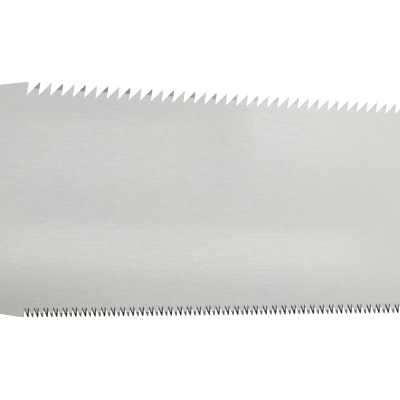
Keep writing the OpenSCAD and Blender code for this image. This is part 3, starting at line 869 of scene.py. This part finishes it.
def half_ring(x, half_w, half_t, side, steps=56):
    """Half an oval whose corners are eased, so that the joint shows as a fine line."""
    turns = [*SPLIT_EASE_MM] + [(180.0 * i / steps, 0.0) for i in range(1, steps)]
    turns += [(180.0 - a, d) for a, d in reversed(SPLIT_EASE_MM)]
    return [
        (x, (half_w - d) * math.cos(math.radians(a)), side * half_t * math.sin(math.radians(a)))
        for a, d in turns
    ]


def make_cores(finishes):
    """The two halves of the wooden handle, hollowed for the clamp's tail, the pin and the cap."""
    butt, past = BUTT_X_MM, BUTT_X_MM + PAST_MM
    for name, side in (("upper", 1), ("lower", -1)):
        wood = skin("core_" + name, [half_ring(x, w, t, side) for x, w, t in core_profile()])
        bed = (FERRULE_X_MM[0], -BED_MM[0], -BED_MM[1]), (BED_END_MM, *BED_MM)
        pin = (PIN_X_MM, 0, -GRIP_MM[1]), (PIN_X_MM, 0, GRIP_MM[1])
        cutters = [
            block("bed", *bed),
            bar("pin_hole", *pin, PIN_R_MM, 32),
            bar("spigot_hole", (butt - SPIGOT_LENGTH_MM, 0, 0), (past, 0, 0), SPIGOT_R_MM),
        ]
        for y in (-SCREW_Y_MM, SCREW_Y_MM):
            hole = (butt - SCREW_DEPTH_MM, y, 0), (past, y, 0)
            cutters.append(bar("screw_hole", *hole, SCREW_R_MM, 32))
        mesh = carved(wood, cutters)
        piece("wood_" + name, mesh, "handle_wood", finishes, ["handle_core_" + name])


def make_ferrule(finishes):
    """Drawn collar with a rolled front edge, two pressed grooves and a mouth for the cheeks."""
    start, end = FERRULE_X_MM
    roll = FERRULE_ROLL_MM
    profile = [
        (start + roll - roll * math.cos(a), -roll + roll * math.sin(a))
        for a in (0, 0.4, 0.8, 1.2, 1.57)
    ]
    for groove in GROOVES_X_MM:
        for dx in (-0.7, -0.4, -0.2, 0, 0.2, 0.4, 0.7):
            depth = GROOVE_DEPTH_MM * math.exp(-((dx / GROOVE_WIDTH_MM) ** 2))
            profile.append((groove + dx, -depth))
    profile += [(end - 0.3, 0.0), (end - 0.1, -0.08), (end, -0.3)]
    half_w, half_t = GRIP_MM
    outside = skin("ferrule_collar", [oval(x, half_w + d, half_t + d) for x, d in profile])
    wall, reach = FERRULE_WALL_MM, half_w + PAST_MM
    bed_w, bed_t = BED_MM
    inside = [oval(x, half_w - wall, half_t - wall) for x in (start + wall, end + PAST_MM)]
    cutters = [
        skin("bore", inside),
        block("mouth", (start - PAST_MM, -bed_w, -bed_t), (start + 2 * PAST_MM, bed_w, bed_t)),
        bar("brad_hole", (BRAD_X_MM, -reach, 0), (BRAD_X_MM, reach, 0), BRAD_R_MM, 24),
    ]
    piece("ferrule_collar", carved(outside, cutters), "ferrule_black", finishes, ["ferrule"])


def make_cap(finishes):
    """Moulded cap with a shadow line at the wood, a crowned end, a hole, seats and a spigot."""
    butt, end = BUTT_X_MM, CAP_END_MM
    profile = [(butt, -0.35), (butt + 0.45, -0.35), (butt + 0.7, -0.08), (butt + 1.0, 0.0)]
    steps = 28
    for i in range(steps + 1):
        turn = CAP_CROWN_TURN * i / steps
        x = end - CAP_CROWN_MM + CAP_CROWN_MM * math.sin(turn) / math.sin(CAP_CROWN_TURN)
        profile.append((x, -CAP_CROWN_MM * (1 - math.cos(turn))))
    rings = [oval(x, BUTT_MM[0] + d, BUTT_MM[1] + d, 128) for x, d in profile]
    reach, seat = HANG_REACH_MM, EYELET_SEAT_Z_MM
    hang = (HANG_X_MM, 0, -reach), (HANG_X_MM, 0, reach)
    cutters = [bar("hang_hole", *hang, EYELET_TUBE_R_MM, 90)]
    for side in (-1, 1):
        flange = (HANG_X_MM, 0, side * seat), (HANG_X_MM, 0, side * reach)
        cutters.append(bar("flange_seat", *flange, EYELET_SEAT_R_MM))
    for y in (-SCREW_Y_MM, SCREW_Y_MM):
        past = (end + PAST_MM, y, 0)
        cutters.append(bar("shank_hole", (butt - PAST_MM, y, 0), past, SCREW_R_MM, 40))
        cutters.append(bar("head_seat", (SCREW_SEAT_X_MM, y, 0), past, SCREW_HEAD_R_MM, 56))
    shell = carved(skin("butt_moulding", rings), cutters)
    piece("butt_moulding", shell, "cap_black", finishes, ["butt_cap"], sharp=28.0)
    tip, root = (butt - SPIGOT_LENGTH_MM, 0, 0), (butt + 0.2, 0, 0)
    piece("butt_spigot", bar("butt_spigot", tip, root, SPIGOT_R_MM), "cap_black", finishes)


def make_eyelet(finishes):
    """Brass eyelet: a tube whose two ends are rolled over into rounded flanges."""
    bore, tube, rim = EYELET_BORE_R_MM, EYELET_TUBE_R_MM, EYELET_RIM_R_MM
    seat, top = EYELET_SEAT_Z_MM, EYELET_TOP_Z_MM
    roll = [
        (bore, seat - 0.9),
        (bore + 0.06, seat - 0.2),
        (bore + 0.28, seat + 0.35),
        (bore + 0.7, top - 0.1),
        (bore + 1.2, top),
        (rim - 0.7, top - 0.04),
        (rim - 0.25, top - 0.22),
        (rim, seat + 0.28),
        (rim - 0.05, seat),
        (tube, seat),
    ]
    mesh = lathe("eyelet_tube", roll + [(r, -z) for r, z in reversed(roll)], HANG_X_MM)
    piece("eyelet_tube", mesh, "eyelet_brass", finishes, ["hang_eyelet"])


def cane_unevenness(chance):
    """A slow wave that never quite repeats from turn to turn."""
    waves = [(chance.uniform(0.21, 0.9), chance.uniform(0, 6.28)) for _ in range(4)]
    return lambda turn: sum(math.sin(turn * speed + start) for speed, start in waves) / 4


def cane_section():
    """The strip's crowned outline: share of the width and of the thickness."""
    across = [-0.5, -0.485, -0.44, -0.36, -0.24, -0.08, 0.08, 0.24, 0.36, 0.44, 0.485, 0.5]
    crown = [0.45 + 0.55 * (1 - abs(2 * u) ** 3) ** 0.6 for u in across]
    return [(-0.5, 0.0)] + list(zip(across, crown)) + [(0.5, 0.0)]


def cane_rings(chance):
    """The strip's rings, and where each point is on it: along, across and above the seat."""
    taller, sideways, tilted = (cane_unevenness(chance) for _ in range(3))
    thick, sunk, section = CANE_THICK_MM, CANE_SUNK_MM, cane_section()
    half_w, half_t = SEAT_MM
    rings, runs, length, before = [], [], 0.0, None
    total = CANE_TURNS * CANE_STEPS
    for i in range(-CANE_END_STEPS, total + CANE_END_STEPS + 1):
        turn = 2 * math.pi * (min(max(i, 0), total) / CANE_STEPS + CANE_START)
        ahead = thick * (min(i, 0) + max(i - total, 0)) / CANE_END_STEPS
        cosine, sine = math.cos(turn), math.sin(turn)
        along = Vector((-half_w * sine, half_t * cosine)).normalized()
        out = Vector((cosine / half_w, sine / half_t)).normalized()
        middle = Vector((half_w * cosine, half_t * sine)) + along * ahead
        x = CANE_X_MM + CANE_PITCH_MM * (turn / (2 * math.pi) - CANE_START)
        at_end = min(1.0, abs(ahead) / thick)
        height = (thick + sunk) * (1 - CANE_THINNER * (1 + taller(turn)))
        height *= 1 - CANE_END_THINNER * at_end
        settled = min(1.0, i / CANE_SETTLE_STEPS, (total - i) / CANE_SETTLE_STEPS)
        shift = CANE_SHIFT_MM * sideways(turn) * (settled if 0 < i < total else 0.0)
        slope = CANE_LEAN * tilted(turn)
        here = Vector((x, middle.x, middle.y))
        length += (here - before).length if before else 0.0
        before = here
        ring = []
        for u, share in section:
            rise = share * height * (1 + slope * u) - sunk
            q = middle + out * min(rise, thick)
            ring.append((x + shift + u * CANE_WIDTH_MM, q.x, q.y))
            runs.append((length * MM, u * CANE_WIDTH_MM * MM, max(rise, 0.0) * MM))
        rings.append(ring)
    return rings, runs, length * MM


def cane_scars(chance, runs, length):
    """How strongly each point shows a scar: a dark line across the strip with a faint halo."""
    scars, place = [], chance.uniform(*CANE_SCAR_FIRST)
    while place < length:
        scars.append((place, chance.uniform(*CANE_SCAR_LEAN)))
        place += chance.uniform(*CANE_SCAR_APART)
    shades = []
    for at, side, _ in runs:
        near = min(abs(at - where - side * lean) for where, lean in scars)
        shades.append(sum(s * math.exp(-((near / (width * MM)) ** 2)) for s, width in CANE_SCAR_MM))
    return shades


def make_cane(finishes):
    """One long strip of split cane wound round its seat, crowned and a little uneven."""
    chance = random.Random(CANE_SEED)
    rings, runs, length = cane_rings(chance)
    mesh = skin("cane_strip", rings)
    run = mesh.attributes.new("cane_run", "FLOAT_VECTOR", "POINT")
    run.data.foreach_set("vector", [value for row in runs for value in row])
    scar = mesh.attributes.new("cane_scar", "FLOAT", "POINT")
    scar.data.foreach_set("value", cane_scars(chance, runs, length))
    piece("cane_strip", mesh, "cane", finishes, ["cane_wrap"], sharp=50.0)


# ---------------------------------------------------------------- CAD nodes that stay
def finish_nodes(frame, finishes):
    """Gives the CAD nodes their materials, and welds the slivers in the brads' domed heads."""
    for name, node in frame["nodes"].items():
        for slot in node.material_slots:
            slot.material = finishes[slot.material.name.split(".")[0]]
        if name.endswith("_brads"):
            node.modifiers.new("weld", "WELD").merge_threshold = WELD_MM * MM


def main():
    """Dresses the part and builds the handle's pieces round it."""
    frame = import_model()
    bpy.context.scene.view_settings.view_transform = "Standard"
    make_camera()
    make_world()
    make_key_light()
    make_floor()
    make_brushed_lines()
    make_edge_wear_and_light()
    make_smudges()
    make_fine_grit()
    finishes = make_finishes()
    finish_nodes(frame, finishes)
    make_cores(finishes)
    make_ferrule(finishes)
    make_cap(finishes)
    make_eyelet(finishes)
    make_cane(finishes)


main()
